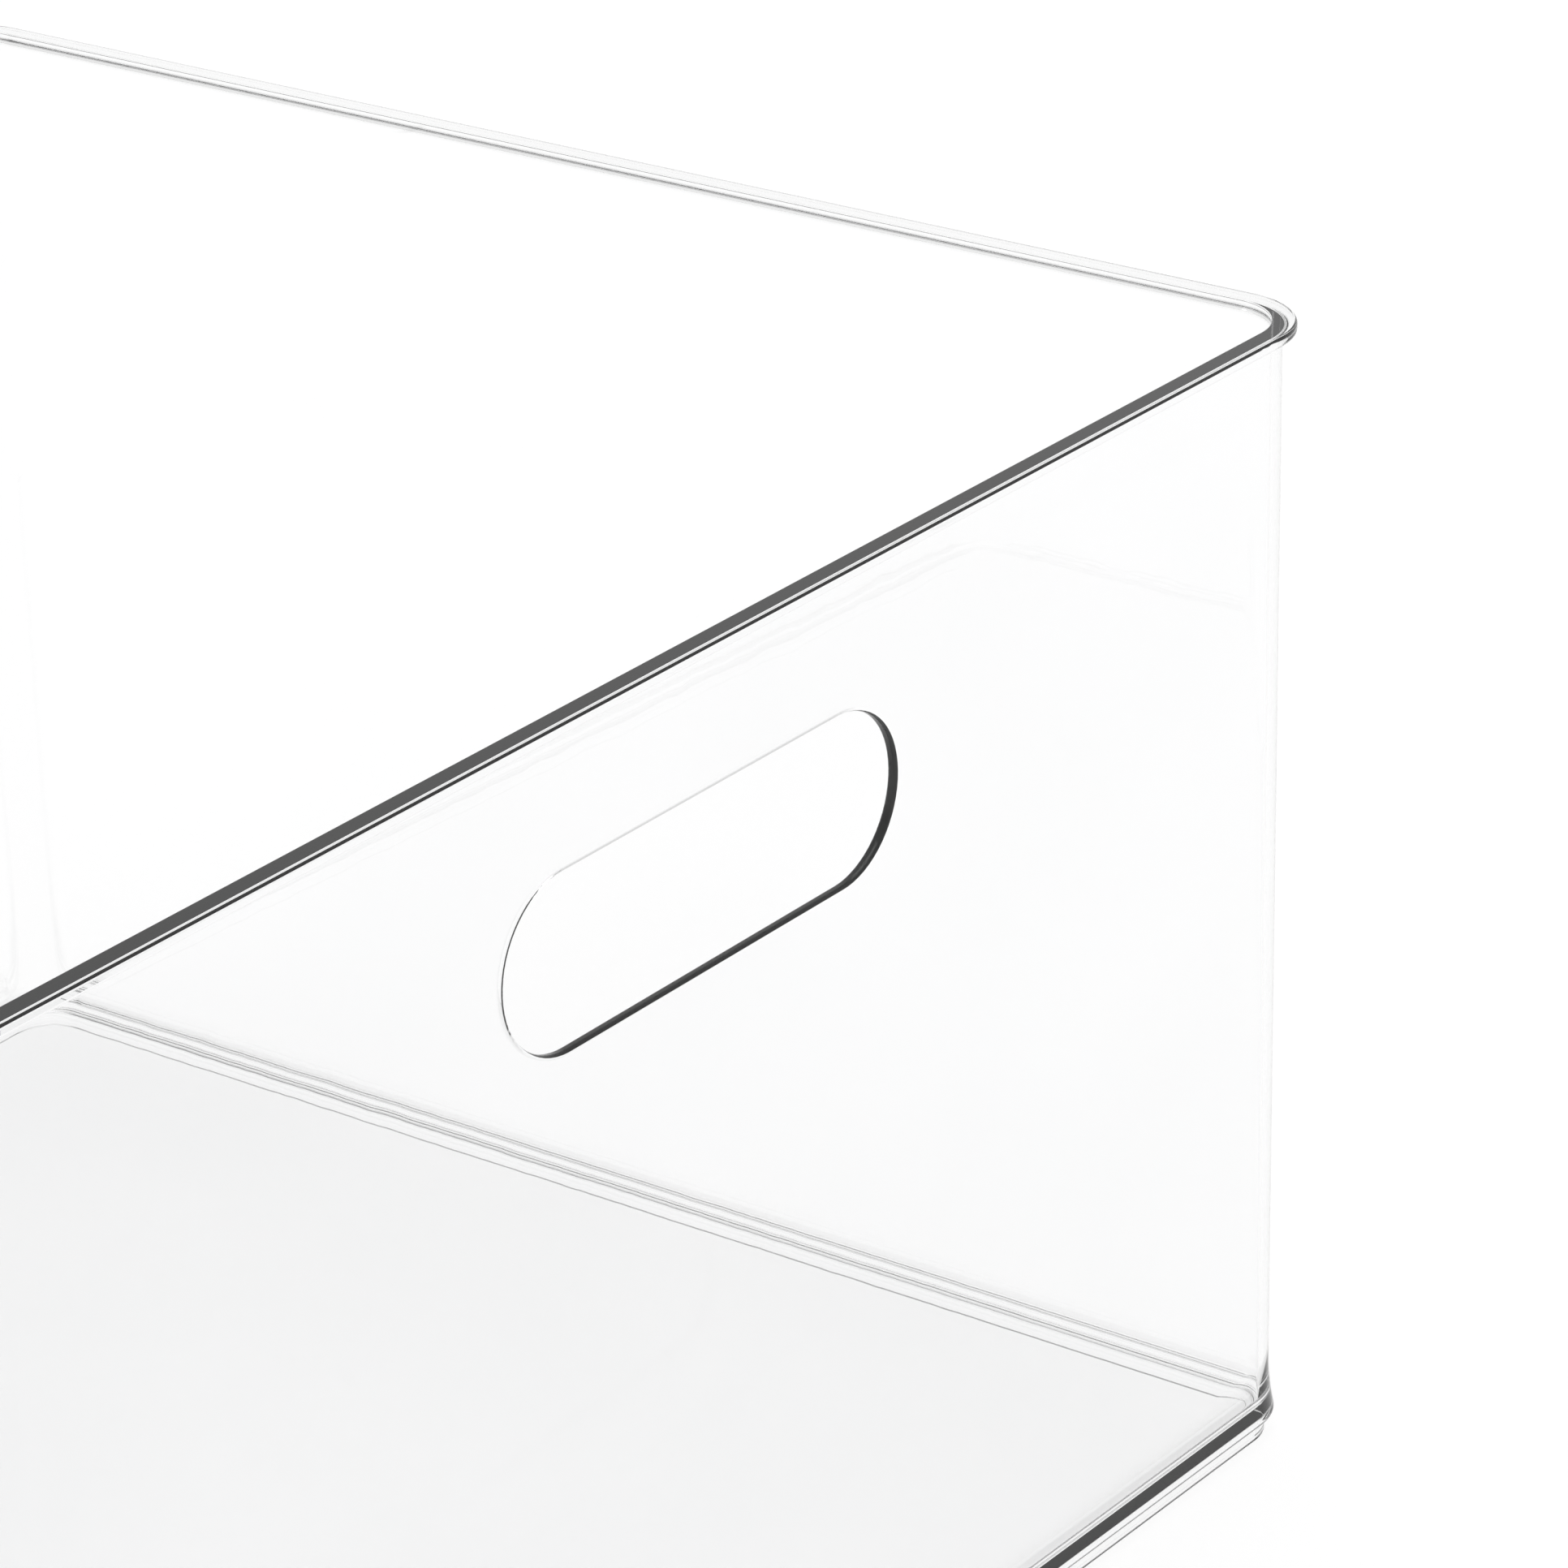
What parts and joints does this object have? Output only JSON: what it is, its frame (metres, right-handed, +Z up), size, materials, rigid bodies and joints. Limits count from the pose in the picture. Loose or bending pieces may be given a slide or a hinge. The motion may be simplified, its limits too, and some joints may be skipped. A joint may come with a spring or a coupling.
{
  "type": "fridge bin",
  "caption": "Clear open-top storage bin with drafted walls, flat outward rim, round-edged hand slots in two opposite walls and a shallow foot ring.",
  "frame": {"origin": "resting plane, below the middle of the bin", "axes": "+Z up; X along the two slotted walls, which are the wider ones; Y from the front slotted wall (-Y) to the back slotted wall (+Y)"},
  "size_m": [0.3236, 0.2986, 0.2],
  "materials": {
    "clear_plastic": "polished, water-clear"
  },
  "bodies": {
    "root": {"bin_body": "clear_plastic"}
  },
  "joints": []
}
